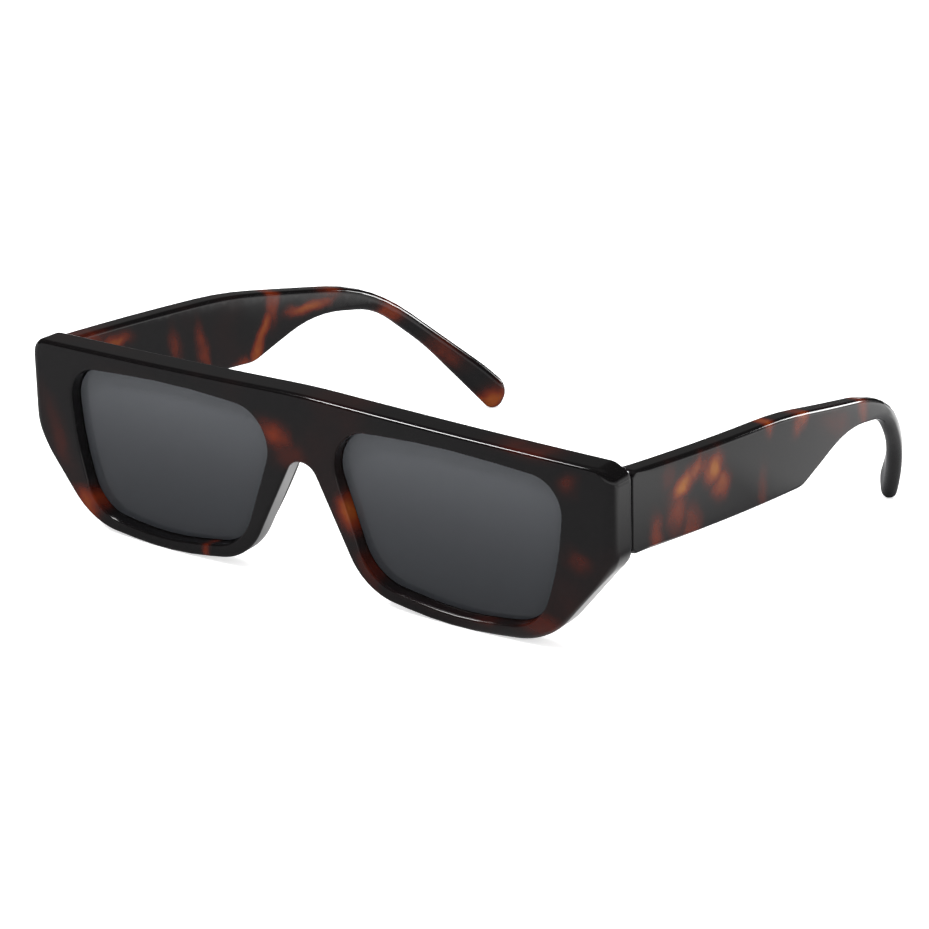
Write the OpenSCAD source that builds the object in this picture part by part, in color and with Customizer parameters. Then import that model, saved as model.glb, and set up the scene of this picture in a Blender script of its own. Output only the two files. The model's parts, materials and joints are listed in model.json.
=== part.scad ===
// Rectangular acetate sunglasses, open and resting on a table: front, two lenses, nose pads, temples with core wires
// and concealed five-barrel hinges, each piece its own node. Millimetres.
// Frame of the drawings: x to the wearer's left, y back from the middle of the brow, z up along the front, with z = 0 at
// the temples' lower edge where they meet the front. rest() leans this frame until rims and tips touch the table.

/* [Front] */
// Height of a lens opening between the corners it is drawn from, before they are rounded
lens_h = 35.8; // [32:0.1:39]
// Width of a lens opening along its top, before its corners are rounded
lens_w = 57.6; // [54:0.1:61]
// Gap between the two openings at their upper inner corners
lens_gap = 10.6; // [9:0.1:13]
// Depth of rim above a lens
rim_top = 4.2; // [3.2:0.1:5.5]
// Width of the end piece beyond a lens
end_w = 11.2; // [10:0.1:13]
// Thickness of the front
front_t = 6.8; // [6.6:0.1:7.6]
// Radius of the front's base curve
base_r = 1162; // [600:1:3000]
// Rounding of the front face's edge
front_edge = 0.9; // [0.6:0.1:1.2]
// Rounding of its rear edge
rear_edge = 1.2; // [0.6:0.1:1.4]
// How far the lens sits behind the front face
lens_set = 2.7; // [2.2:0.1:2.9]
// Thickness of a lens
lens_t = 2.1; // [2:0.1:2.4]
// Height of the nose pads behind the rims
pad_h = 2.3; // [1.5:0.1:3.5]

/* [Temples] */
// Length of a temple from the front to the back of its tip
temple_l = 141; // [130:1:148]
// Height of a temple at the front
temple_h = 17.2; // [15.6:0.1:18]
// Thickness of a temple at the front
temple_t = 4.45; // [4.2:0.05:5.2]
// Thickness of a temple at its tip
tip_t = 3.6; // [3.2:0.05:4.4]
// Angle at which a temple leaves the front, outward
spread = 3.7; // [2:0.1:6]
// Width of the steel core wire
wire_w = 2.0; // [1.6:0.1:2.4]

/* [Hinges] */
// Height of the five barrels together
hinge_h = 8.0; // [7:0.1:9]
// Radius of a hinge screw
screw_r = 0.7; // [0.6:0.05:0.8]

/* [Hidden] */
$fn = 32;
DEG = 180 / PI;
// Clearance between two pieces that are fitted together
fit = 0.05;

// Front, (x, z, rounding)
lens_top = temple_h + 0.08;
top_in = [lens_gap / 2, lens_top - 1.8];
top_out = [top_in.x + lens_w, lens_top - 2.4];
low_in = [top_in.x + 0.191 * lens_w, lens_top - 0.905 * lens_h];
low_mid = [top_in.x + 0.571 * lens_w, lens_top - lens_h];
low_out = [top_out.x - 5.6, lens_top - 0.938 * lens_h];
side_out = [top_out.x - 1, lens_top - 0.525 * lens_h];
top_mid = [low_mid.x - 5.2, lens_top];
OPENING = [[low_in.x, low_in.y, 12], [low_mid.x, low_mid.y, 66], [low_out.x, low_out.y, 10],
  [side_out.x, side_out.y, 84], [top_out.x, top_out.y, 7.5], [top_mid.x, top_mid.y, 200], [top_in.x, top_in.y, 8.5]];
arch = [top_in.x - 2.85, lens_top - 0.3 * lens_h];
nose = [low_in.x - 1.35, low_in.y - 2.6];
brow = [top_out.x + end_w, lens_top + rim_top - 2.3];
hip = [brow.x + 0.1, side_out.y + 0.85];
HALF = [[arch.x, arch.y, 6.4], [nose.x, nose.y, 14.7], [low_mid.x - 2, low_mid.y - 2.65, 108],
  [low_out.x + 1.6, low_out.y - 2.95, 17], [hip.x, hip.y, 9], [brow.x, brow.y, 4]];
OUTLINE = concat([for (i = [5:-1:0]) [-HALF[i].x, HALF[i].y, HALF[i].z]], HALF, [[0, lens_top + rim_top, 200]]);

// Temple's outer face, (distance along it, z, rounding)
run = temple_l / 141;
tip = 12.7 - 0.36 * temple_l;
SIDE = [[0, 0, 1.5], [62.5 * run, -6.7, 4], [83.8 * run, -0.8, 21.4], [104.6 * run, -5.4, 19.4],
  [118.9 * run, tip + 20.6, 68], [137.3 * run, tip, 4.1], [temple_l, tip + 6.8, 4.5], [135.7 * run, tip + 12.2, 90],
  [104.4 * run, 0.3, 60], [56.1 * run, temple_h - 6, 150], [0.01, temple_h, 1.5]];
bend_s = 100.8 * run;
BEND_R = [504, 63.4];

unit = function(v) v / norm(v);
fillet = function(p, c, q, r, steps)
  let(u = unit(p - c), v = unit(q - c), half = acos(u * v) / 2,
    out = min(r / tan(half), 0.49 * min(norm(p - c), norm(q - c))),
    mid = c + unit(u + v) * out / cos(half), start = c + u * out - mid,
    turn = (cross(u, v) > 0 ? -1 : 1) * (180 - 2 * half))
  [for (i = [0:steps]) let(a = turn * i / steps)
    mid + [start.x * cos(a) - start.y * sin(a), start.x * sin(a) + start.y * cos(a)]];
xy = function(p) [p.x, p.y];
// Corners with their roundings made into points; a wider corner gets more steps
rounded = function(corners, fine)
  let(n = len(corners))
  [for (i = [0:n - 1]) let(p = xy(corners[(i + n - 1) % n]), c = xy(corners[i]), q = xy(corners[(i + 1) % n]),
    bend = 180 - acos(unit(p - c) * unit(q - c)))
    each fillet(p, c, q, corners[i].z, max(2, ceil(bend / fine)))];
// Points moved inward by t[i], mitred; a negative amount grows the outline
inset = function(pts, t)
  let(n = len(pts), nor = [for (i = [0:n - 1]) let(e = unit(pts[(i + 1) % n] - pts[i])) [-e.y, e.x]])
  [for (i = [0:n - 1]) let(a = nor[(i + n - 1) % n], b = nor[i]) pts[i] + t[i] * (a + b) / (1 + a * b)];
even = function(pts, t) inset(pts, [for (p = pts) t]);
sorted = function(a)
  len(a) < 2 ? a : let(m = a[floor(len(a) / 2)])
  concat(sorted([for (v = a) if (v < m) v]), [m], sorted([for (v = a) if (v > m) v]));
thinned = function(a, gap)
  [for (i = 0, last = a[0] - 2 * gap; i < len(a); last = a[i] - last >= gap ? a[i] : last, i = i + 1)
    if (a[i] - last >= gap) a[i]];
// A closed outline as a ring of stations: its lower run from left to right, then its upper run back
ruled = function(pts, pitch)
  let(n = len(pts), xs = [for (p = pts) p.x], lo = min(xs), hi = max(xs),
    first = [for (i = [0:n - 1]) if (xs[i] == lo) i][0],
    turn = [for (i = [0:n - 1]) if (xs[i] == hi) i][0],
    last = turn < first ? turn + n : turn,
    low = [for (i = [first:last]) pts[i % n]],
    high = [for (i = [last:first + n]) pts[i % n]],
    keys = thinned(sorted(concat([lo + 0.05], [for (v = xs) if (v > lo + 0.2 && v < hi - 0.2) v],
      [for (v = [lo + pitch:pitch:hi - 1]) v])), 0.16),
    st = concat(keys, [hi - 0.05]))
  concat([for (s = st) [s, lookup(s, low)]], [for (i = [len(st) - 1:-1:0]) [st[i], lookup(st[i], high)]]);

centre = function(ring) [for (p = ring) 1] * ring / len(ring);
// Solid through rings of equal length; levels holds [depth, ring], at(x, depth, z) places a point. Each end is closed by
// rulings between the ring's lower and upper run, or by a fan from its centre
module loft(levels, at, fan = false)
{
  m = len(levels[0][1]);
  k = len(levels);
  pts = [for (v = levels) for (p = v[1]) at(p.x, v[0], p.y)];
  ends = [for (v = [levels[0], levels[k - 1]]) let(c = centre(v[1])) at(c.x, v[0], c.y)];
  back = (k - 1) * m;
  walls = [for (j = [0:k - 2]) for (i = [0:m - 1]) let(a = j * m + i, b = j * m + (i + 1) % m)
    each [[a, b, b + m], [a, b + m, a + m]]];
  caps = !fan
    ? [for (i = [0:m / 2 - 2]) let(t = m - 1 - i)
      each [[i, t, t - 1], [i, t - 1, i + 1], [back + i, back + i + 1, back + t - 1], [back + i, back + t - 1, back + t]]]
    : [for (i = [0:m - 1]) let(j = (i + 1) % m)
      each [[j, i, k * m], [back + i, back + j, k * m + 1]]];
  polyhedron(concat(pts, fan ? ends : []), concat(walls, caps), convexity = 8);
}

// The front's base curve: x runs round it, depth goes in from the front face
bow = function(x, depth, z) let(a = x / base_r * DEG) [(base_r - depth) * sin(a), base_r - (base_r - depth) * cos(a), z];
opening = rounded(OPENING, 11);
lens_mid = [(top_in.x + top_out.x) / 2, lens_top - lens_h / 2];
FLARE = 0.2;
flank = function(p) p.y > arch.y + 4 ? 0 : max(0, min(1, (nose.x + 4 - abs(p.x)) / 7));
brim = ruled(rounded(OUTLINE, 13), 12);
// How far a point belongs to the end face, which runs straight back with a crisp rear edge, flush with the temple
ended = function(p) max(0, min(1, abs(p.x) - brow.x + 1.5));
END_FLARE = -0.065;
spread_out = function(p, depth) depth * (FLARE * flank(p) + END_FLARE * ended(p));
// Steps of the front's two rounded edges: [depth, inset]
FRONT_STEPS = [[0, 1], [0.12, 0.56], [0.45, 0.18], [1, 0]];
front_rings = concat(
  [for (v = FRONT_STEPS) let(depth = v[0] * front_edge)
    [depth, inset(brim, [for (p = brim) v[1] * front_edge + spread_out(p, depth)])]],
  [for (i = [3:-1:0]) let(v = FRONT_STEPS[i], depth = front_t - v[0] * rear_edge)
    [depth, inset(brim, [for (p = brim)
      v[1] * rear_edge * (1 - max(0.6 * flank(p), 0.75 * ended(p))) + spread_out(p, depth)])]]);

// The temple's path: x and y where the outer face is at distance s, w inward
start_a = brow.x / base_r * DEG;
start = [brow.x, base_r - (base_r - front_t) * cos(start_a) + 0.1];
heading = function(s) spread - min(s, bend_s) / BEND_R[0] * DEG - max(0, s - bend_s) / BEND_R[1] * DEG;
arc = function(c, r, a, b) c + r * [cos(b) - cos(a), sin(a) - sin(b)];
path = function(s)
  let(knee = arc(start, BEND_R[0], spread, heading(min(s, bend_s))))
  s > bend_s ? arc(knee, BEND_R[1], heading(bend_s), heading(s)) : knee;
// The temple thins from its outer face's side, w in step with it, on its way to the tip
thinned_by = function(s) 1 - (1 - tip_t / temple_t) * max(0, min(1, (s / run - 60) / 60));
along = function(s, w, z)
  let(a = heading(s), p = path(s), v = w * thinned_by(s)) [p.x - v * cos(a), p.y + v * sin(a), z];
// The butt is mitred to lie along the rear of the front
mitre = tan(spread + start_a);
shaft = function(s, w, z) along(s - w * mitre * max(0, 1 - s / 8), w, z);
spine = ruled(rounded(SIDE, 11), 8);
TEMPLE_STEPS = [[0, 1], [0.3, 0.3], [1, 0]];
temple_edge = 1.0;
// Roundings fade at the butt, where the temple meets the front closely
soft = function(p) 0.25 + 0.75 * max(0, min(1, p.x / 6));
temple_levels = concat([for (v = TEMPLE_STEPS) [v[0] * temple_edge, v[1] * temple_edge]],
  [for (v = [TEMPLE_STEPS[2], TEMPLE_STEPS[1], TEMPLE_STEPS[0]]) [temple_t - v[0] * temple_edge, v[1] * temple_edge]]);
temple_rings = [for (v = temple_levels) [v[0], inset(spine, [for (p = spine) v[1] * soft(p)])]];

// Resting pose: the lean at which the rims and the temple tips reach the table together
front_pts = [for (v = front_rings) for (p = v[1]) bow(p.x, v[0], p.y)];
temple_pts = [for (v = temple_rings) for (p = v[1]) shaft(p.x, v[0], p.y)];
sunk = function(pts, a) min([for (p = pts) p.y * sin(a) + p.z * cos(a)]);
settle = function(lo, hi, n)
  let(m = (lo + hi) / 2)
  n == 0 ? m : sunk(temple_pts, m) > sunk(front_pts, m) ? settle(lo, m, n - 1) : settle(m, hi, n - 1);
lean = settle(0, 20, 24);
floor_z = sunk(front_pts, lean);
fore = min([for (p = front_pts) p.y * cos(lean) - p.z * sin(lean)]);
aft = max([for (p = temple_pts) p.y * cos(lean) - p.z * sin(lean)]);

// Hinge: the pin stands behind the front's end piece, just inside the temple
barrel_r = 1.5;
pin_gap = 1.77;
pin_x = along(0, temple_t, 0).x - barrel_r - 0.12;
pin_a = asin(pin_x / (base_r - front_t + pin_gap));
pin_y = base_r - (base_r - front_t - pin_gap) * cos(asin(pin_x / (base_r - front_t - pin_gap)));
pin_z = temple_h / 2 + 0.6;
knuckle = hinge_h / 5;
leaf_h = hinge_h + 1;
leaf_t = 1.2;
// Front leaf, measured from the pin: inboard end and outboard end
FRONT_LEAF = [-3.3, 1.1];
// Temple leaf, buried in the middle of the temple: distances from the butt to its head's end and to its own end
HEAD_END = 3.2;
LEAF_END = 16;
leaf_mid = LEAF_END / 2;
LEAF_TALL = 5;
leaf_out = temple_t / 2 + leaf_t / 2;
leaf_in = temple_t / 2 - leaf_t / 2;

module rest()
{
  translate([0, -(fore + aft) / 2, -floor_z])
    rotate([lean, 0, 0]) children();
}
module at_pin() translate([pin_x, pin_y, pin_z]) rotate([0, 0, pin_a]) children();
// Local frame on the temple's inner face: x inward, y back along it
module on_temple()
{
  p = along(leaf_mid, temple_t, pin_z);
  translate(p) rotate([0, 0, 180 - heading(leaf_mid)]) mirror([0, 1, 0]) children();
}
module other_side() mirror([1, 0, 0]) children();
module block(lo, hi) translate(lo) cube(hi - lo);

module opening_cut()
{
  t = front_t;
  g = [[-3, 0.5], [0, 0.5], [0.15, 0.2], [0.5, 0], [lens_set + 0.15, 0], [lens_set + 0.8, 0.7], [lens_set + 1.3, 0.7],
    [lens_set + lens_t - 0.15, 0], [t - 0.4, 0], [t, 0.4], [t + 3, 0.4]];
  loft([for (v = g) [v[0], even(opening, -v[1])]], bow, true);
}
module rim_front()
{
  difference() {
    loft(front_rings, bow);
    opening_cut();
    other_side() opening_cut();
    leaf_pocket();
    other_side() leaf_pocket();
  }
}
module leaf_pocket()
{
  at_pin() block([FRONT_LEAF[0] - fit, -pin_gap - 1, -leaf_h / 2 - fit], [FRONT_LEAF[1] + fit, 0, leaf_h / 2 + fit]);
}
module lens()
{
  b = lens_set + lens_t;
  g = [[lens_set, 0.25], [lens_set + 0.15, 0.08], [lens_set + 0.85, -0.62], [lens_set + 1.25, -0.62],
    [b - 0.15, 0.08], [b, 0.25]];
  inner = function(k) [for (p = even(opening, 0.25)) lens_mid + (p - lens_mid) * k];
  loft(concat([for (k = [0.35, 0.7]) [lens_set, inner(k)]], [for (v = g) [v[0], even(opening, v[1])]],
    [for (k = [0.7, 0.35]) [b, inner(k)]]), bow, true);
}
// Section of a nose pad: distance from the nose edge of the rim, and share of the pad's height
PAD = [[1.6, 0], [3.35, 0], [4, 0.13], [4.3, 0.33], [4.2, 0.48], [3.8, 0.67], [3.35, 0.87], [3.05, 0.98], [2.75, 0.93],
  [2.45, 0.72], [2.1, 0.48], [1.78, 0.22]];
module nose_pad()
{
  slope = (nose.x - arch.x) / (arch.y - nose.y);
  z_hi = arch.y + 0.3;
  z_lo = nose.y + 5.6;
  // Fullness of the pad along its length
  full = [[0, 0.12], [0.04, 0.4], [0.12, 0.68], [0.25, 0.93], [0.4, 1], [0.6, 0.97], [0.75, 0.82], [0.88, 0.55],
    [0.96, 0.3], [1, 0.1]];
  loft([for (v = full) let(z = z_hi + (z_lo - z_hi) * v[0], slim = 0.3 + 0.7 * v[1])
    [z, [for (p = PAD) [arch.x + (arch.y - z) * slope + 2.45 + (p[0] - 2.45) * slim, p[1] * v[1] * pad_h]]]],
    function(x, z, e) bow(x, front_t + 0.02 + e, z), true);
}
module temple()
{
  difference() {
    loft(temple_rings, shaft);
    wire(fit);
    on_temple() {
      block([-leaf_out - fit, -leaf_mid - 3, -leaf_h / 2 - fit], [2, HEAD_END - leaf_mid + fit, leaf_h / 2 + fit]);
      block([-leaf_out - fit, -leaf_mid - 3, -LEAF_TALL / 2 - fit],
        [-leaf_in + fit, LEAF_END - leaf_mid + fit, LEAF_TALL / 2 + fit]);
    }
  }
}
// Steel core: a flat wire in the middle of the temple, from the hinge leaf to the tip
module wire(gap)
{
  n = len(spine) / 2;
  low = [for (i = [0:n - 1]) spine[i]];
  high = [for (i = [2 * n - 1:-1:n]) spine[i]];
  half = wire_w / 2;
  from = LEAF_END + 0.1;
  st = concat([for (i = [0:9]) from + (92 * run - from) * i / 9], [for (i = [0:8]) (96 + 4.2 * i) * run]);
  mid = function(s) let(t = lookup(s, high), b = lookup(s, low), k = max(0, min(1, (s / run - 84) / 26)),
    drop = max(3.4, 6 - 0.1 * (s - from)))
    (t - drop) * (1 - k) + (t + b) / 2 * k;
  levels = [for (i = [0:len(st) - 1]) let(s = st[i], rise = (mid(s + 0.5) - mid(s - 0.5)),
    h = (half + gap) * sqrt(1 + rise * rise), e = (i == 0 ? -3 * gap : i == len(st) - 1 ? gap : 0),
    a = leaf_in - gap, b = leaf_out + gap)
    [s + e, [[a, mid(s) - h], [a, mid(s) + h], [b, mid(s) + h], [b, mid(s) - h]]]];
  loft(levels, function(w, s, z) along(s, w, z), true);
}
module barrels(which, bore)
{
  for (i = which)
    translate([0, 0, -hinge_h / 2 + i * knuckle + 0.02])
      difference() {
        cylinder(r = barrel_r, h = knuckle - 0.04);
        translate([0, 0, -1]) cylinder(r = bore, h = knuckle + 2);
      }
}
module front_hinge()
{
  top = -pin_gap + 0.2;
  difference() {
    at_pin() {
      block([FRONT_LEAF[0], top - leaf_t + fit, -leaf_h / 2], [FRONT_LEAF[1], top, leaf_h / 2]);
      for (i = [0, 2, 4])
        block([-barrel_r, top - 0.3, -hinge_h / 2 + i * knuckle + 0.02],
          [FRONT_LEAF[1], 0, -hinge_h / 2 + (i + 1) * knuckle - 0.02]);
      barrels([0, 2, 4], screw_r + 0.02);
    }
    at_pin() translate([0, 0, -hinge_h]) cylinder(r = screw_r + 0.02, h = 2 * hinge_h);
  }
}
module temple_hinge()
{
  p = along(leaf_mid, temple_t, pin_z);
  a = heading(leaf_mid);
  d = [pin_x - p.x, pin_y - p.y];
  // The pin in the leaf's frame
  px = -d.x * cos(a) + d.y * sin(a);
  py = d.x * sin(a) + d.y * cos(a);
  difference() {
    union() {
      on_temple() {
        block([-leaf_out, -leaf_mid, -leaf_h / 2], [0, HEAD_END - leaf_mid, leaf_h / 2]);
        block([-leaf_out, -leaf_mid, -LEAF_TALL / 2], [-leaf_in, LEAF_END - leaf_mid, LEAF_TALL / 2]);
        for (i = [1, 3])
          block([-0.3, py, -hinge_h / 2 + i * knuckle + 0.02],
            [px, HEAD_END - leaf_mid, -hinge_h / 2 + (i + 1) * knuckle - 0.02]);
      }
      at_pin() barrels([1, 3], screw_r + 0.04);
    }
    at_pin() translate([0, 0, -hinge_h]) cylinder(r = screw_r + 0.04, h = 2 * hinge_h);
  }
}
module hinge_screw()
{
  head_h = 0.6;
  at_pin() difference() {
    union() {
      translate([0, 0, -hinge_h / 2 - 0.2]) cylinder(r = screw_r, h = hinge_h + 0.4);
      translate([0, 0, hinge_h / 2 + 0.02]) cylinder(r = barrel_r - 0.25, h = head_h);
    }
    translate([-2, -0.15, hinge_h / 2 + head_h - 0.25]) cube([4, 0.3, 1]);
  }
}

module front_frame() color("#1b1412") rest() rim_front();
module lens_left() color("#4a4c50") rest() lens();
module lens_right() color("#4a4c50") rest() other_side() lens();
module nose_pad_left() color("#241a17") rest() nose_pad();
module nose_pad_right() color("#241a17") rest() other_side() nose_pad();
module temple_left() color("#1d1513") rest() temple();
module temple_right() color("#1d1513") rest() other_side() temple();
module core_wire_left() color("#a88a5a") rest() wire(0);
module core_wire_right() color("#a88a5a") rest() other_side() wire(0);
module hinge_front_left() color("#9a9da1") rest() front_hinge();
module hinge_front_right() color("#9a9da1") rest() other_side() front_hinge();
module hinge_temple_left() color("#8f9296") rest() temple_hinge();
module hinge_temple_right() color("#8f9296") rest() other_side() temple_hinge();
module hinge_screw_left() color("#b9bbbe") rest() hinge_screw();
module hinge_screw_right() color("#b9bbbe") rest() other_side() hinge_screw();

front_frame();
lens_left();
lens_right();
nose_pad_left();
nose_pad_right();
temple_left();
temple_right();
core_wire_left();
core_wire_right();
hinge_front_left();
hinge_front_right();
hinge_temple_left();
hinge_temple_right();
hinge_screw_left();
hinge_screw_right();
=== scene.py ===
"""Rectangular acetate sunglasses, open and resting on a table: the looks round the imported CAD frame.

Shapes are drawn in millimetres in the drawing frame of the CAD source: x to the wearer's left, y back from
the middle of the brow, z up along the front. seat() leans that frame and puts it on the table, in metres.
"""

import json
from math import acos, asin, atan2, ceil, cos, pi, radians, sin, tan

import bmesh
import bpy
import numpy as np
from mathutils import Matrix, Vector
from mathutils.geometry import delaunay_2d_cdt


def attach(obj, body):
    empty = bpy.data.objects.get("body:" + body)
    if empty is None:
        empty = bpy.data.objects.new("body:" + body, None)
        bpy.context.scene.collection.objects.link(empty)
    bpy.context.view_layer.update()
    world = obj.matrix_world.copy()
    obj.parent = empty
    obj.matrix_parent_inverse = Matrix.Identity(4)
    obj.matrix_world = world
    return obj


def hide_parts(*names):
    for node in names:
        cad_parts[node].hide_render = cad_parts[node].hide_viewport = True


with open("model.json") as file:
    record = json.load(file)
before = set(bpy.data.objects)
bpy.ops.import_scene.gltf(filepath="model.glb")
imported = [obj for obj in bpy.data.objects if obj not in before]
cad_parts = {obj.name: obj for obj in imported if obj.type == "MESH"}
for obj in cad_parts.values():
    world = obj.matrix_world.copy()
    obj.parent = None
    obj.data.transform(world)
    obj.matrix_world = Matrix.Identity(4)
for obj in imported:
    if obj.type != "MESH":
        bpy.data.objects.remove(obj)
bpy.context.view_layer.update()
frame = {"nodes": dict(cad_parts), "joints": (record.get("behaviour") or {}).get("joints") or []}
scene = bpy.context.scene

# ---------------------------------------------------------------- sizes, in mm
lens_h, lens_w, lens_gap = 35.8, 57.6, 10.6
rim_top, end_w, front_t = 4.2, 11.2, 6.8
base_r = 1162.0  # base curve of the front face
lens_set, lens_t, land = 2.7, 2.1, 0.15  # land: the flat on each side of a lens's bevel
lens_play, groove_in, bevel_out = 0.08, 0.7, 0.62  # beside the edge of the opening
pad_h, pad_mid, glue = 2.3, 2.45, 0.02
temple_l, temple_h, temple_t, tip_t = 141.0, 17.2, 4.45, 3.6
spread = radians(3.7)  # of a temple where it leaves the front
thin_from, thin_over = 60, 60  # where a temple thins to its tip
mitre_l, butt_gap = 8, 0.1
leaf_h, leaf_t = 9.0, 1.2  # height and thickness of a hinge leaf
pin_in, pin_back, pin_up = 1.62, 1.77, 0.6  # from the temple's inside, the front's rear and mid height
leaf_out, leaf_in, leaf_deep = 3.3, 1.1, 1.0  # front leaf of a hinge, from the middle of its pin
head_s, head_l = 8.0, 3.2  # temple leaf: its place along the temple and the length of its head
fit, eased = 0.05, 0.08  # clearance of a fitted piece, and the bevel on the metal's edges

# Rounded edges, and how the nose flanks and the ends differ from them
front_edge, rear_edge, end_edge = 0.9, 1.2, 2.5
sill_edge, back_edge = 0.5, 0.4  # of a lens opening, at the face and at the rear
end_from = 4  # how far in from the brow's corner the front edge starts to widen to end_edge
temple_edge, tip_edge = 1.0, 2.0
tip_from, tip_over = 88, 22  # where temple_edge widens to tip_edge
flare, end_flare = 0.2, -0.065  # widening a mm of depth
flank_crisp, end_crisp = 0.6, 0.75  # share of the rear round that is left out
crease = radians(38)  # where a surface turns by more than this, its edge shows

# Outlines, (x, z, rounding) at each corner
lens_top = temple_h + 0.08
top_in = (lens_gap / 2, lens_top - 1.8)
top_out = (top_in[0] + lens_w, lens_top - 2.4)
low_in = (top_in[0] + 0.191 * lens_w, lens_top - 0.905 * lens_h)
low_mid = (top_in[0] + 0.571 * lens_w, lens_top - lens_h)
low_out = (top_out[0] - 5.6, lens_top - 0.938 * lens_h)
side_out = (top_out[0] - 1, lens_top - 0.525 * lens_h)
top_mid = (low_mid[0] - 5.2, lens_top)
OPENING = [
    (*low_in, 12),
    (*low_mid, 66),
    (*low_out, 10),
    (*side_out, 84),
    (*top_out, 7.5),
    (*top_mid, 200),
    (*top_in, 8.5),
]
arch = (top_in[0] - 2.85, lens_top - 0.3 * lens_h)
nose = (low_in[0] - 1.35, low_in[1] - 2.6)
brow = (top_out[0] + end_w, lens_top + rim_top - 2.3)
hip = (brow[0] + 0.1, side_out[1] + 0.85)
HALF = [
    (*arch, 6.4),
    (*nose, 14.7),
    (low_mid[0] - 2, low_mid[1] - 2.65, 108),
    (low_out[0] + 1.6, low_out[1] - 2.95, 17),
    (*hip, 9),
    (*brow, 4),
]
FRONT = [(-x, z, r) for x, z, r in reversed(HALF)] + HALF + [(0, lens_top + rim_top, 200)]

# The temple's outer face, (distance along it, z, rounding), drawn 141 long
run = temple_l / 141
tip = 12.7 - 0.36 * temple_l
TEMPLE = [
    (0, 0, 1.5),
    (62.5 * run, -6.7, 9),
    (83.8 * run, -0.8, 36),
    (104.6 * run, -5.4, 27),
    (118.9 * run, tip + 20.6, 68),
    (137.3 * run, tip, 4.1),
    (temple_l, tip + 6.8, 4.5),
    (135.7 * run, tip + 12.2, 90),
    (104.4 * run, 0.3, 60),
    (56.1 * run, temple_h - 6, 150),
    (0.01, temple_h, 1.5),
]
# Seen from above it bends inward, by the first radius up to bend_s and by the second beyond
bend_s = 100.8 * run
shank_r, drop_r = 504.0, 63.4

# ---------------------------------------------------------------- drawing frame and table
fold = next(j for j in frame["joints"] if j["name"] == "fold_left")
lean = atan2(-fold["axis"][1], fold["axis"][2])
start_a = brow[0] / base_r
start = np.array([brow[0], base_r - (base_r - front_t) * cos(start_a) + butt_gap])
pin_x = start[0] - temple_t - pin_in + temple_t * (1 - cos(spread))
pin_r = base_r - front_t - pin_back
pin_y = base_r - pin_r * cos(asin(pin_x / pin_r))
pin_z = temple_h / 2 + pin_up
leaning = Matrix.Rotation(lean, 4, "X")
seating = Matrix.Translation(Vector(fold["pos_m"]) - leaning @ Vector((pin_x, pin_y, pin_z)) / 1000) @ leaning


def seat(p):
    """A point of the drawings, in mm, as a point on the table, in metres."""
    return seating @ (Vector(p) / 1000)


def on_side(p, side):
    """The point itself for the wearer's left, side 1, or its mirror image for the right, side -1."""
    return side * p[0], p[1], p[2]


def hand(side):
    """The side in words."""
    return "left" if side > 0 else "right"


def add_object(name, data):
    """A new object in the scene."""
    o = bpy.data.objects.new(name, data)
    scene.collection.objects.link(o)
    return o


def bow(x, depth, z):
    """The front's base curve: x runs round it, depth goes in from the front face."""
    r = base_r - depth
    return r * sin(x / base_r), base_r - r * cos(x / base_r), z


def heading(s):
    """How far the left temple points outward at s: less and less, then inward at the tip."""
    return spread - min(s, bend_s) / shank_r - max(0, s - bend_s) / drop_r


def swing(c, r, a, b):
    """Where an arc of radius r ends that starts at c and turns from heading a to heading b."""
    return c + r * np.array([cos(b) - cos(a), sin(a) - sin(b)])


def along(s, w, z):
    """A point of the left temple: s back along its outer face, w inward from it."""
    p = swing(start, shank_r, spread, heading(min(s, bend_s)))
    if s > bend_s:
        p = swing(p, drop_r, heading(bend_s), heading(s))
    a = heading(s)
    w *= 1 - (1 - tip_t / temple_t) * max(0, min(1, (s / run - thin_from) / thin_over))
    return p[0] - w * cos(a), p[1] + w * sin(a), z


def shaft(s, w, z):
    """along(), with the butt mitred to the rear of the front."""
    return along(s - w * tan(spread + start_a) * max(0, 1 - s / mitre_l), w, z)


# ---------------------------------------------------------------- outlines
def unit(v):
    return v / np.linalg.norm(v)


def rounding(p, c, q, r, step):
    """The corner c between p and q as an arc of radius r."""
    u, v = unit(p - c), unit(q - c)
    half = acos(max(-1.0, min(1.0, u @ v))) / 2
    out = min(r / tan(half), 0.49 * min(np.linalg.norm(p - c), np.linalg.norm(q - c)))
    mid = c + unit(u + v) * out / cos(half)
    arm = c + u * out - mid
    turn = (-1 if u[0] * v[1] - u[1] * v[0] > 0 else 1) * (pi - 2 * half)
    n = max(3, ceil(abs(turn) / step))
    return [
        mid + np.array([arm[0] * cos(a) - arm[1] * sin(a), arm[0] * sin(a) + arm[1] * cos(a)])
        for a in (turn * i / n for i in range(n + 1))
    ]


def outline(corners, step=radians(4), pitch=1.5):
    """Rounded corners joined by straight runs, with no gap between points wider than the pitch."""
    flat = [np.array(c[:2], float) for c in corners]
    n = len(flat)
    pts = []
    for i, c in enumerate(corners):
        pts += rounding(flat[i - 1], flat[i], flat[(i + 1) % n], c[2], step)
    ring = []
    for i, p in enumerate(pts):
        q = pts[(i + 1) % len(pts)]
        k = max(1, ceil(np.linalg.norm(q - p) / pitch))
        if np.linalg.norm(q - p) > 1e-6:
            ring += [p + (q - p) * j / k for j in range(k)]
    return np.array(ring)


def inset(ring, t):
    """The outline moved inward by t, a number or one a point; a negative amount grows it."""
    edge = np.roll(ring, -1, 0) - ring
    edge /= np.linalg.norm(edge, axis=1)[:, None]
    after = np.stack([-edge[:, 1], edge[:, 0]], 1)
    before = np.roll(after, 1, 0)
    t = np.broadcast_to(np.asarray(t, float), (len(ring),))
    return ring + t[:, None] * (before + after) / (1 + (before * after).sum(1))[:, None]


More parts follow.
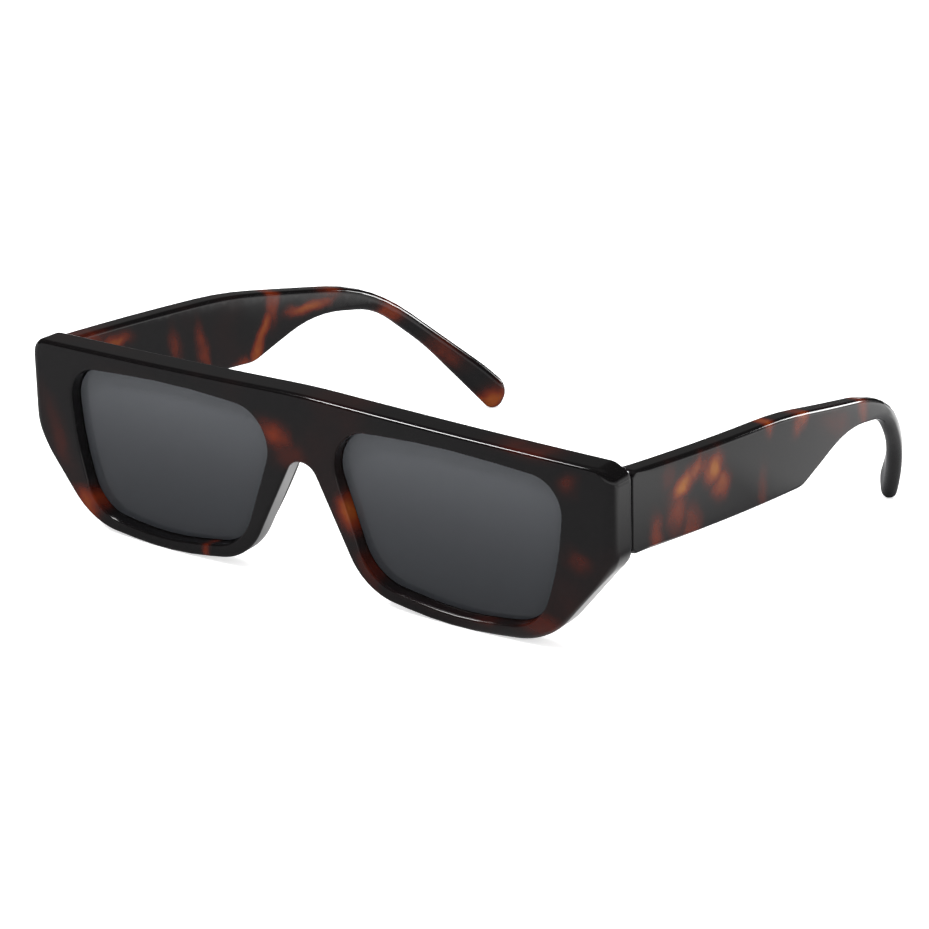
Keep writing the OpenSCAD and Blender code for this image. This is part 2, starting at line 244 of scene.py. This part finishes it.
def within(pts, ring):
    """Which points lie inside the outline."""
    x, y = pts[:, 0][:, None], pts[:, 1][:, None]
    ax, ay = ring[:, 0][None], ring[:, 1][None]
    bx, by = np.roll(ring[:, 0], -1)[None], np.roll(ring[:, 1], -1)[None]
    crosses = (ay > y) != (by > y)
    safe = np.where(by == ay, 1.0, by - ay)
    return (crosses & (x < (bx - ax) * (y - ay) / safe + ax)).sum(1) % 2 == 1


def round_steps(r, n=7):
    """A quarter round of radius r as (depth, inset) pairs, from the face to the side."""
    return [(r * (1 - cos(a)), r * (1 - sin(a))) for a in (pi / 2 * i / n for i in range(n + 1))]


def rounded_off(depth, r):
    """How far a quarter round of radius r, a number a point, draws the side in at this depth."""
    return r - np.sqrt(np.maximum(0, r * r - np.maximum(0, r - depth) ** 2))


# ---------------------------------------------------------------- shells
class Shell:
    """Points and faces of one piece, drawn as rings and flats and placed by a mapping of (a, depth, b)."""

    def __init__(self, place):
        self.place, self.points, self.faces = place, [], []

    def add(self, pts, depth):
        first = len(self.points)
        self.points += [self.place(p[0], depth, p[1]) for p in pts]
        return list(range(first, len(self.points)))

    def band(self, a, b):
        n = len(a)
        self.faces += [(a[i], a[(i + 1) % n], b[(i + 1) % n], b[i]) for i in range(n)]

    def wall(self, levels):
        """Rings at rising depths joined by bands; returns the first and the last as (outline, indices)."""
        rings = [(pts, self.add(pts, d)) for d, pts in levels]
        for (_, a), (_, b) in zip(rings, rings[1:]):
            self.band(a, b)
        return rings[0], rings[-1]

    def flat(self, rim, holes, depth, pitch):
        """A face between a rim and its holes, with points inside it so that it follows the curve."""
        edge, inner = rim[0], [h[0] for h in holes]
        lo, hi, clear = edge.min(0), edge.max(0), 0.45 * pitch
        gx, gy = np.meshgrid(np.arange(lo[0], hi[0], pitch), np.arange(lo[1], hi[1], pitch))
        grid = np.stack([gx.ravel(), gy.ravel()], 1)
        keep = within(grid, inset(edge, clear)) & within(grid, edge)
        for h in inner:
            keep &= ~within(grid, inset(h, -clear)) & ~within(grid, h)
        grid = grid[keep]
        loops = [edge, *inner]
        pts = np.concatenate([*loops, grid])
        lines, first = [], 0
        for l in loops:
            lines += [(first + i, first + (i + 1) % len(l)) for i in range(len(l))]
            first += len(l)
        index = list(rim[1])
        for h in holes:
            index += h[1]
        index += self.add(grid, depth)
        got, _, tris, origin, _, _ = delaunay_2d_cdt([Vector(p) for p in pts], lines, [], 0, 1e-5)
        got = np.array([tuple(v) for v in got])
        corners = np.array([got[list(t)] for t in tris])
        u, v = corners[:, 1] - corners[:, 0], corners[:, 2] - corners[:, 0]
        mids = corners.mean(1)
        inside = within(mids, edge) & (abs(u[:, 0] * v[:, 1] - u[:, 1] * v[:, 0]) > 1e-3)
        for h in inner:
            inside &= ~within(mids, h)
        self.faces += [tuple(index[origin[i][0]] for i in t) for t, k in zip(tris, inside) if k]

    def mesh(self, name, side=1, crease=crease):
        """The piece on the table."""
        m = bpy.data.meshes.new(name)
        m.from_pydata([seat(on_side(p, side)) for p in self.points], [], self.faces)
        b = bmesh.new()
        b.from_mesh(m)
        bmesh.ops.remove_doubles(b, verts=b.verts, dist=1e-7)
        bmesh.ops.recalc_face_normals(b, faces=b.faces)
        finish_edges(b, crease)
        b.to_mesh(m)
        b.free()
        return add_object(name, m)


def finish_edges(b, crease):
    """Smooth shading, with a sharp edge wherever the surface turns by more than the crease."""
    for f in b.faces:
        f.smooth = True
    for e in b.edges:
        e.smooth = not (len(e.link_faces) == 2 and e.calc_face_angle(0) > crease)


def even_normals(o):
    """Flats keep their own normal right up to a rounded edge."""
    m = o.modifiers.new("even normals", "WEIGHTED_NORMAL")
    m.keep_sharp = True
    m.weight = 80
    return o


def stands_for(o, node, body):
    """Puts the piece in the place of a node of the frame, on its body."""
    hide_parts(node)
    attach(o, body)
    return o


# ---------------------------------------------------------------- the front
def flank(p):
    """How far a point belongs to the nose flanks, which widen to the back."""
    return 0 if p[1] > arch[1] + 4 else max(0, min(1, (nose[0] + 4 - abs(p[0])) / 7))


def ended(p):
    """How far a point belongs to the end face, which runs straight back with a crisp rear edge."""
    return max(0, min(1, abs(p[0]) - brow[0] + 1.5))


def build_front():
    shell = Shell(bow)
    brim, opening = outline(FRONT), outline(OPENING, radians(5))
    nosed, end = np.array([flank(p) for p in brim]), np.array([ended(p) for p in brim])
    cornered = np.clip((abs(brim[:, 0]) - brow[0] + end_from) / end_from, 0, 1)
    lip = front_edge + (end_edge - front_edge) * cornered
    depths = [d for d, _ in round_steps(front_edge)] + [1.2, 1.55, 2.0, end_edge]
    edges = [(d, rounded_off(d, lip)) for d in depths]
    round_left = 1 - np.maximum(flank_crisp * nosed, end_crisp * end)
    edges += [(front_t - d, i * round_left) for d, i in reversed(round_steps(rear_edge))]
    slant = flare * nosed + end_flare * end
    outer = shell.wall([(d, inset(brim, i + d * slant)) for d, i in edges])
    groove = [
        (lens_set + land, 0),
        (lens_set + 0.8, groove_in),
        (lens_set + 1.3, groove_in),
        (lens_set + lens_t - land, 0),
    ]
    sill = round_steps(sill_edge, 5)
    back_sill = [(front_t - d, i) for d, i in reversed(round_steps(back_edge, 4))]
    mid = base_r * asin(pin_x / (base_r - front_t))
    h = leaf_h / 2 + fit
    walls, pockets = [], []
    for side in (1, -1):
        ring = opening * np.array([side, 1])
        ring = ring if side > 0 else ring[::-1]
        walls.append(shell.wall([(d, inset(ring, -g)) for d, g in sill + groove + back_sill]))
    for side in (1, -1):
        a, b = sorted((side * (mid - leaf_out - fit), side * (mid + leaf_in + fit)))
        box = np.array([(a, pin_z - h), (b, pin_z - h), (b, pin_z + h), (a, pin_z + h)])
        pockets.append(shell.wall([(front_t, box), (front_t - leaf_deep + 0.02, box)]))
        shell.faces.append(tuple(pockets[-1][1][1]))
    shell.flat(outer[0], [w[0] for w in walls], 0, pitch=2.5)
    shell.flat(outer[1], [w[1] for w in walls] + [p[0] for p in pockets], front_t, pitch=3.5)
    o = even_normals(shell.mesh("front"))
    return stands_for(o, "front_frame", "front")


def build_lens(side):
    shell = Shell(bow)
    ring = outline(OPENING, radians(5))
    back = lens_set + lens_t
    bevel = [
        (lens_set, 0.25),
        (lens_set + land, lens_play),
        (lens_set + 0.85, -bevel_out),
        (lens_set + 1.25, -bevel_out),
        (back - land, lens_play),
        (back, 0.25),
    ]
    front, rear = shell.wall([(d, inset(ring, g)) for d, g in bevel])
    shell.flat(front, [], lens_set, pitch=3)
    shell.flat(rear, [], back, pitch=3)
    o = even_normals(shell.mesh("sun_lens_" + hand(side), side))
    return stands_for(o, "lens_" + hand(side), "front")


# Section of a nose pad: distance from the nose edge of the rim, and share of the pad's height
PAD = [
    (1.6, 0),
    (3.35, 0),
    (4, 0.13),
    (4.3, 0.33),
    (4.2, 0.48),
    (3.8, 0.67),
    (3.35, 0.87),
    (3.05, 0.98),
    (2.75, 0.93),
    (2.45, 0.72),
    (2.1, 0.48),
    (1.78, 0.22),
]
# How full a nose pad is, from its top, 0, to its lower end, 1
PAD_FULL = [
    (0, 0.05),
    (0.02, 0.26),
    (0.06, 0.46),
    (0.12, 0.68),
    (0.25, 0.93),
    (0.4, 1),
    (0.6, 0.97),
    (0.75, 0.82),
    (0.88, 0.55),
    (0.95, 0.33),
    (0.985, 0.18),
    (1, 0.04),
]


def flowing(pts, n):
    """A smooth line through the points, with n steps between neighbours."""
    pts = np.array(pts, float)
    held = [pts[0], *pts, pts[-1]]
    out = []
    for a, b, c, d in zip(held, held[1:], held[2:], held[3:]):
        for t in (j / n for j in range(n)):
            bend = 2 * a - 5 * b + 4 * c - d + t * (3 * (b - c) + d - a)
            out.append(b + 0.5 * t * (c - a + t * bend))
    return out + [pts[-1]]


def build_pad(side):
    shell = Shell(lambda x, z, e: bow(x, front_t + glue + e, z))
    slope = (nose[0] - arch[0]) / (arch[1] - nose[1])
    top, low = arch[1] + 0.3, nose[1] + 5.6
    foot = [np.array(PAD[0]) + (np.array(PAD[1]) - PAD[0]) * i / 5 for i in range(5)]
    section = flowing(PAD[1:], 4) + foot
    levels = []
    for share, full in flowing(PAD_FULL, 3):
        share, full = min(1, max(0, share)), max(0.03, full)
        z = top + (low - top) * share
        slim = 0.3 + 0.7 * full
        mid = arch[0] + (arch[1] - z) * slope + pad_mid
        ring = [(mid + (a - pad_mid) * slim, max(0, e) * full * pad_h) for a, e in section]
        levels.append((z, np.array(ring)))
    first, last = shell.wall(levels)
    shell.faces += [tuple(first[1]), tuple(last[1])]
    o = even_normals(shell.mesh("pad_" + hand(side), side, radians(50)))
    return stands_for(o, "nose_pad_" + hand(side), "front")


# ---------------------------------------------------------------- the temples
def soften(p):
    """How much of its round an edge keeps: little at the butt, which meets the front."""
    return 0.25 + 0.75 * max(0, min(1, p[0] / 6))


def notch(side):
    """The block that is cut from a temple for the head of its hinge leaf, out through butt and inside."""
    c = np.array(along(head_s, temple_t, pin_z))
    a = heading(head_s)
    into, back, up = np.array([(-cos(a), sin(a), 0), (sin(a), cos(a), 0), (0, 0, 1)])
    h = leaf_h / 2 + fit
    pts = []
    for x in (-(temple_t + leaf_t) / 2 - fit, 2.0):
        for y in (-head_s - 3, head_l - head_s + fit):
            for z in (-h, h):
                pts.append(seat(on_side(c + into * x + back * y + up * z, side)))
    sides = [(0, 1, 3, 2), (4, 6, 7, 5), (0, 4, 5, 1), (2, 3, 7, 6), (0, 2, 6, 4), (1, 5, 7, 3)]
    m = bpy.data.meshes.new("notch")
    m.from_pydata(pts, [], sides)
    b = bmesh.new()
    b.from_mesh(m)
    bmesh.ops.recalc_face_normals(b, faces=b.faces)
    b.to_mesh(m)
    b.free()
    return add_object("notch", m)


def build_temple(side):
    shell = Shell(shaft)
    shape = outline(TEMPLE, radians(5))
    kept = np.array([soften(p) for p in shape])
    tipped = np.clip((shape[:, 0] / run - tip_from) / tip_over, 0, 1)
    edge = temple_edge + (tip_edge - temple_edge) * tipped
    depths = [d for d, _ in round_steps(temple_edge)] + [1.25, 1.6, tip_edge]
    levels = [(d, rounded_off(d, edge)) for d in depths]
    levels += [(temple_t - d, i) for d, i in reversed(levels)]
    outer, inner = shell.wall([(d, inset(shape, i * kept)) for d, i in levels])
    shell.flat(outer, [], 0, pitch=2.4)
    shell.flat(inner, [], temple_t, pitch=2.4)
    o = shell.mesh("arm_" + hand(side), side)
    cutter = notch(side)
    cut = o.modifiers.new("notch", "BOOLEAN")
    cut.operation, cut.solver, cut.object = "DIFFERENCE", "EXACT", cutter
    done = bpy.data.meshes.new_from_object(o.evaluated_get(bpy.context.evaluated_depsgraph_get()))
    o.modifiers.clear()
    o.data = done
    bpy.data.objects.remove(cutter)
    b = bmesh.new()
    b.from_mesh(done)
    finish_edges(b, crease)
    b.to_mesh(done)
    b.free()
    even_normals(o)
    return stands_for(o, "temple_" + hand(side), "temple_" + hand(side))


# ---------------------------------------------------------------- finishes
class Val:
    """A number that varies over a surface. Sums with it make Math nodes."""

    def __init__(self, kit, socket):
        self.kit, self.socket = kit, socket

    def sum(self, op, a, b):
        """One Math node on two values."""
        return self.kit.node("Math", {"operation": op}, {0: a, 1: b})

    def __add__(self, o):
        return self.sum("ADD", self, o)

    def __radd__(self, o):
        return self.sum("ADD", o, self)

    def __sub__(self, o):
        return self.sum("SUBTRACT", self, o)

    def __rsub__(self, o):
        return self.sum("SUBTRACT", o, self)

    def __mul__(self, o):
        return self.sum("MULTIPLY", self, o)

    def __rmul__(self, o):
        return self.sum("MULTIPLY", o, self)

    def over(self, o):
        """The greater of the two."""
        return self.sum("MAXIMUM", self, o)

    def fall(self, a, b):
        """1 before a, 0 after b, smooth between."""
        return 1 - self.rise(a, b)

    def rise(self, a, b):
        """0 before a, 1 after b, smooth between."""
        values = {"Value": self, "From Min": a, "From Max": b}
        return self.kit.node("MapRange", {"interpolation_type": "SMOOTHSTEP"}, values)


class Finish:
    """One material, or the world's shader, and the nodes in it."""

    def __init__(self, name, world=False):
        self.data = bpy.data.worlds.new(name) if world else bpy.data.materials.new(name)
        self.data.use_nodes = True
        self.tree = self.data.node_tree
        self.tree.nodes.clear()

    def node(self, kind, settings=None, values=None, out=0, raw=False):
        """One node, with its settings and what its sockets hold; gives output out, or the node if raw."""
        n = self.tree.nodes.new("ShaderNode" + kind)
        for k, v in (settings or {}).items():
            if k == "stops":
                ramp = n.color_ramp.elements
                while len(ramp) < len(v):
                    ramp.new(0.5)
                for e, (at, colour) in zip(ramp, v):
                    e.position, e.color = at, (*colour, 1)
            else:
                setattr(n, k, v)
        for k, v in (values or {}).items():
            socket = n.inputs[k]
            if isinstance(v, Val):
                self.tree.links.new(v.socket, socket)
            elif isinstance(v, bpy.types.Node):
                self.tree.links.new(v.outputs[0], socket)
            elif isinstance(v, (tuple, list)) and len(v) == 3 and socket.type == "RGBA":
                socket.default_value = (*v, 1)
            else:
                socket.default_value = v
        return n if raw else Val(self, n.outputs[out])

    def surface(self, shader):
        """Ends the nodes in this shader, and gives the material or the world."""
        kind = "OutputWorld" if isinstance(self.data, bpy.types.World) else "OutputMaterial"
        self.node(kind, None, {"Surface": shader}, raw=True)
        return self.data

    def plastic(self, colour, rough, ior, more=None):
        """Glossy acetate or lens plastic as the surface."""
        values = {"Base Color": colour, "Roughness": rough, "IOR": ior, "Specular IOR Level": 0.5}
        return self.surface(self.node("BsdfPrincipled", None, values | (more or {})))

    def place(self):
        """Where a point of the surface is, in metres."""
        return self.node("TexCoord", None, None, "Object")

    def noise(self, at, scale, detail=2.0, rough=0.5, out=0):
        """Grain with about scale lumps a metre; output 1 is coloured."""
        values = {"Vector": at, "Scale": scale, "Detail": detail, "Roughness": rough}
        return self.node("TexNoise", None, values, out)

    def stir(self, at, scale, detail, reach):
        """A push in a direction that wanders over the surface, up to half of reach each way."""
        wander = self.shift(self.noise(at, scale, detail, 0.5, 1), (0.5, 0.5, 0.5), "SUBTRACT")
        return self.stretch(wander, reach)

    def blend(self, share, a, b):
        """Colour a where the share is 0, b where it is 1."""
        n = self.node("Mix", {"data_type": "RGBA"}, {0: share, 6: a, 7: b}, raw=True)
        return Val(self, n.outputs[2])

    def shift(self, a, b, op="ADD"):
        """The vector a moved by b."""
        return self.node("VectorMath", {"operation": op}, {0: a, 1: b})

    def stretch(self, v, k):
        """The vector v times k."""
        return self.node("VectorMath", {"operation": "SCALE"}, {0: v, "Scale": k})


# Colours of the acetate by depth of cloud: near-black ground, dark red, red-brown, amber
CLOUD = [
    (0.0, (0.0046, 0.0042, 0.0044)),
    (0.14, (0.0110, 0.0046, 0.0042)),
    (0.34, (0.0420, 0.0066, 0.0036)),
    (0.58, (0.1150, 0.0150, 0.0036)),
    (0.80, (0.2000, 0.0420, 0.0055)),
    (1.0, (0.3200, 0.1060, 0.0120)),
]
through = 30  # half size of a cloud across its piece: it goes right through
fade_from, fade_to = 0.1, 1.3  # where a cloud starts to fade and where it ends, in its half sizes


def front_cloud(x, z, wide, high, turn, amber):
    return bow(x, front_t / 2, z), (wide, through, high), (0, turn), amber


def temple_cloud(side, s, z, long, high, turn, amber):
    return on_side(along(s, temple_t / 2, z), side), (through, long, high), (turn, 0), amber


def tortoise(name, clouds):
    """Tortoiseshell acetate. A cloud has a middle, half sizes, turns about x and y, and a depth of amber."""
    f = Finish(name)
    at = f.place()
    wavy = f.shift(at, f.shift(f.stir(at, 90, 2.0, 0.005), f.stir(at, 330, 1.5, 0.0014)))
    cloud = f.noise(at, 34).rise(0.50, 0.78) * 0.22  # faint ones anywhere
    for middle, half, (turn_x, turn_y), amber in clouds:
        box = {
            "Vector": wavy,
            "Location": tuple(seat(middle)),
            "Rotation": (lean + radians(turn_x), radians(turn_y), 0),
            "Scale": tuple(h / 1000 for h in half),
        }
        local = f.node("Mapping", {"vector_type": "TEXTURE"}, box)
        reach = f.node("VectorMath", {"operation": "LENGTH"}, {0: local}, "Value")
        cloud = cloud.over(reach.fall(fade_from, fade_to) * amber)
    wisps = f.noise(wavy, 150).rise(0.25, 0.70)
    colour = f.node("ValToRGB", {"stops": CLOUD}, {"Fac": cloud * (0.74 + wisps * 0.34)})
    rub = f.noise(at, 90, 3.0, 0.6)
    return f.plastic(colour, 0.06 + rub * 0.05, 1.48)


def sun_glass():
    f = Finish("sun lens")
    # The lens's own grey tint, made lighter towards the top as a painted reflection
    up = f.node("SeparateXYZ", None, {0: f.place()}, "Z")
    share = up.rise(0.002, 0.046)
    tint_with_painted_reflection = f.blend(share * (share * 0.75 + 0.25), (0.030, 0.032, 0.036), (0.112, 0.117, 0.127))
    return f.plastic(tint_with_painted_reflection, 0.04, 1.5, {"Alpha": 0.975})


def metal(name, colour, rough):
    f = Finish(name)
    grain = f.noise(f.place(), 900, 2.0, 0.6)
    values = {"Base Color": colour, "Metallic": 1.0, "Roughness": (rough - 0.06) + grain * 0.12}
    return f.surface(f.node("BsdfPrincipled", None, values))


# Clouds seen square on, in mm: across, up, half width, half height, turn in degrees, depth of amber
FRONT_CLOUDS = [
    (-6.4, 11.6, 5.2, 4.0, 20, 0.58),
    (-2.6, 8.6, 6.5, 3.9, 0, 0.32),
    (11.4, -1.4, 4.8, 5.5, -20, 0.90),
    (16.5, -13.0, 3.4, 6.5, -25, 0.34),
    (-60.0, -15.4, 6.0, 4.2, 35, 0.69),
    (-67.4, -1.0, 3.4, 13.0, -25, 0.29),
    (-25.7, -17.8, 1.8, 3.4, 0, 0.53),
    (57.0, -15.6, 9.1, 4.2, 0, 0.44),
    (44.5, -17.4, 4.2, 2.3, 0, 0.27),
    (64.6, 14.6, 2.8, 3.6, 0, 0.32),
    (66.8, -0.6, 4.6, 3.4, 30, 0.33),
    (53.5, 21.0, 9.1, 3.1, 0, 0.33),
]
# On a temple the first number is the distance along it
LEFT_CLOUDS = [
    (16.8, 9.4, 6.6, 3.6, 20, 0.94),
    (21.0, 10.8, 5.0, 3.2, 0, 0.84),
    (24.6, 10.4, 4.6, 3.0, 0, 0.64),
    (28.0, 9.0, 5.0, 3.8, 0, 0.98),
    (30.0, 5.0, 4.4, 4.2, 0, 0.88),
    (11.6, 12.4, 3.0, 3.4, 0, 0.36),
    (14.0, 4.6, 5.4, 6.6, 0, 0.56),
    (18.8, 0.2, 4.6, 6.0, 0, 0.58),
    (7.0, 2.2, 3.0, 6.0, 0, 0.58),
    (49.0, 11.8, 2.8, 3.4, 0, 0.80),
    (61.6, 8.8, 5.0, 3.6, 30, 0.74),
    (46.2, -1.0, 3.2, 7.0, 0, 0.40),
    (78.0, 2.4, 11.0, 3.6, -20, 0.36),
    (91.5, 2.2, 3.6, 6.4, 0, 0.66),
]
RIGHT_CLOUDS = [
    (64.2, -2.4, 2.6, 9.9, -30, 0.95),
    (69.0, 6.0, 3.1, 8.6, -8, 0.69),
    (57.6, -6.0, 4.4, 2.9, 0, 0.69),
    (81.5, 1.8, 11.2, 2.0, 4, 0.76),
    (16.5, 12.4, 6.5, 3.0, -4, 0.78),
    (6.0, 15.2, 11.7, 2.9, -6, 0.55),
    (36.0, 5.0, 2.5, 7.0, 10, 0.44),
    (45.0, 1.5, 3.0, 9.1, 14, 0.57),
    (89.0, 5.5, 5.7, 4.4, 0, 0.57),
    (107.5, -6.5, 7.0, 6.2, 30, 0.63),
    (123.5, -19.5, 7.8, 3.4, -45, 0.46),
    (134.6, -34.6, 6.0, 4.9, 30, 0.78),
]


# ---------------------------------------------------------------- the studio
def build_floor():
    """A white table. In reflections its colour is painted: a grey of painted shade, with a painted white
    patch before each face that is named here, which that face shows as a painted reflection.
    """
    r = 3
    m = bpy.data.meshes.new("table")
    m.from_pydata([(-r, -r, 0), (r, -r, 0), (r, r, 0), (-r, r, 0)], [], [(0, 1, 2, 3)])
    o = add_object("table", m)
    f = Finish("white table")
    ray = f.node("LightPath", raw=True)
    seen, mirrored = Val(f, ray.outputs["Is Camera Ray"]), Val(f, ray.outputs["Is Glossy Ray"])
    xyz = f.node("SeparateXYZ", None, {0: f.place()}, raw=True)
    x, y = Val(f, xyz.outputs[0]), Val(f, xyz.outputs[1])
    # Painted white patches that only reflections see, each placed so that the face it is named after shows a
    # painted reflection
    temple_root = x.rise(0.10, 0.16) * y.rise(-0.09, -0.01) * y.fall(0.03, 0.13)
    temple_side = x.rise(0.06, 0.10) * (y.rise(0.04, 0.08) * 0.44 + y.rise(0.13, 0.18) * 0.24)
    cut_corner = x.rise(0.03, 0.055) * x.fall(0.08, 0.10) * y.rise(-0.08, -0.06) * y.fall(-0.03, -0.01)
    nose_flank = x.rise(-0.04, -0.015) * x.fall(0.01, 0.03) * y.rise(-0.066, -0.046) * y.fall(-0.03, 0.0)
    inner_faces = (x.rise(0.0, 0.04) * x.fall(0.06, 0.09)).over(x.fall(-0.06, -0.03)) * y.rise(0.085, 0.125)
    painted_reflection_patches = (temple_root * 0.62).over(temple_side).over(cut_corner).over(nose_flank * 0.8).over(inner_faces)
    # Seen in reflections the table is painted grey as painted shade, and white in the patches
    shown = f.blend(painted_reflection_patches, (0.21, 0.21, 0.215), (1.0, 1.0, 1.0))
    lit = f.node("BsdfDiffuse", None, {"Color": f.blend(mirrored, (0.86, 0.86, 0.86), shown)})
    glow = f.node("Emission", None, {"Color": (1, 1, 1), "Strength": seen * 0.62})
    f.surface(f.node("AddShader", None, {0: lit, 1: glow}))
    m.materials.append(f.data)


def build_tent():
    """A light tent that only reflections show: white low on the right, dim overhead and at the back left."""
    m = bpy.data.meshes.new("tent")
    b = bmesh.new()
    bmesh.ops.create_uvsphere(b, u_segments=48, v_segments=24, radius=1.5)
    b.to_mesh(m)
    b.free()
    o = add_object("tent", m)
    o.visible_camera = o.visible_diffuse = o.visible_transmission = o.visible_shadow = False
    o.visible_volume_scatter = False
    f = Finish("tent cloth")
    xyz = f.node("SeparateXYZ", None, {0: f.place()}, raw=True)
    x, y, z = (Val(f, s) for s in xyz.outputs)
    low = z.fall(0.10, 0.42)
    right = x.rise(-0.1, 0.8)
    back_left = x.fall(-0.9, -0.2) * y.rise(0.2, 0.9) * z.fall(0.7, 1.1)
    cloth = (0.02 + right * low * 0.9) + (z.rise(1.2, 1.45) * 0.1 + back_left * 0.08)
    f.surface(f.node("Emission", None, {"Color": (1, 1, 1), "Strength": cloth}))
    m.materials.append(f.data)


def lamp(name, at, aim, size, power, glint=False):
    """A round lamp with a width and a height; reflections show it only with glint."""
    d = bpy.data.lights.new(name, "AREA")
    d.shape, d.size, d.size_y, d.energy = "ELLIPSE", *size, power
    o = add_object(name, d)
    o.location = at
    o.rotation_mode = "QUATERNION"
    o.rotation_quaternion = (Vector(aim) - Vector(at)).to_track_quat("-Z", "Y")
    o.visible_glossy = glint


def build_room():
    """A white room, dimmer for the light it gives than for the eye, and its lamps."""
    f = Finish("room", world=True)
    ray = f.node("LightPath", raw=True)
    seen = Val(f, ray.outputs["Is Camera Ray"])
    for name in ("Is Glossy Ray", "Is Transmission Ray"):
        seen = seen.over(Val(f, ray.outputs[name]))
    white = {"Color": (1, 1, 1), "Strength": 0.55 + seen * 0.45}
    scene.world = f.surface(f.node("Background", None, white))
    middle, brow_end, right_tip = (0, 0, 0), (0.05, -0.07, 0.04), (-0.05, 0.05, 0.03)
    lamp("soft top", (0.15, -0.1, 1.1), middle, (1.1, 1.1), 9)
    lamp("soft front", (0.9, -1.0, 0.8), (0, 0, 0.02), (0.9, 0.9), 5)
    lamp("edge light", (-0.34, -0.48, 0.55), brow_end, (0.22, 0.12), 2.6, glint=True)
    lamp("rim light", (0.28, 0.958, 0.289), right_tip, (0.32, 0.22), 1.9, glint=True)
    lamp("tip light", (0.371, 0.876, 0.405), right_tip, (0.16, 0.16), 0.65, glint=True)


# Camera, as fitted in the drawing frame to the object's edges in the photograph
azimuth, elevation, roll = radians(36.587), radians(21.107), radians(-1.528)
aim, distance, focal = Vector((41.148, 0, 15)), 740.56, 3820.27
picture, sensor = 929, 36.0


def build_camera():
    back = Vector((sin(azimuth) * cos(elevation), -cos(azimuth) * cos(elevation), sin(elevation)))
    right = (-back).cross(Vector((0, 0, 1))).normalized()
    up = right.cross(-back)
    across = cos(roll) * right + sin(roll) * up
    upward = -sin(roll) * right + cos(roll) * up
    turn = Matrix((across, upward, back)).transposed().to_4x4()
    data = bpy.data.cameras.new("camera")
    data.sensor_width, data.lens = sensor, focal * sensor / picture
    data.clip_start, data.clip_end = 0.01, 20
    o = add_object("camera", data)
    o.matrix_world = Matrix.Translation(seat(aim + back * distance)) @ leaning @ turn
    scene.camera = o


# ---------------------------------------------------------------- assembly
scene.view_settings.view_transform = "Standard"
build_camera()

front_acetate = tortoise("tortoiseshell front", [front_cloud(*c) for c in FRONT_CLOUDS])
left_acetate = tortoise("tortoiseshell left", [temple_cloud(1, *c) for c in LEFT_CLOUDS])
right_acetate = tortoise("tortoiseshell right", [temple_cloud(-1, *c) for c in RIGHT_CLOUDS])
glass = sun_glass()
core_steel = metal("core wire steel", (0.46, 0.40, 0.30), 0.35)
hinge_steel = metal("hinge steel", (0.52, 0.52, 0.53), 0.28)
screw_steel = metal("screw steel", (0.62, 0.62, 0.63), 0.22)

build_front().data.materials.append(front_acetate)
for side in (1, -1):
    build_lens(side).data.materials.append(glass)
    build_pad(side).data.materials.append(front_acetate)
    build_temple(side).data.materials.append(left_acetate if side > 0 else right_acetate)

# The metal is the frame's own: wires, hinges and screws, with their edges eased
for name, node in frame["nodes"].items():
    if node.hide_render:
        continue
    buried = name.startswith("core")
    node.data.materials.clear()
    node.data.materials.append(core_steel if buried else screw_steel if "screw" in name else hinge_steel)
    if not buried:
        bevel = node.modifiers.new("eased edges", "BEVEL")
        bevel.width, bevel.segments, bevel.angle_limit = eased / 1000, 2, radians(40)

build_floor()
build_tent()
build_room()
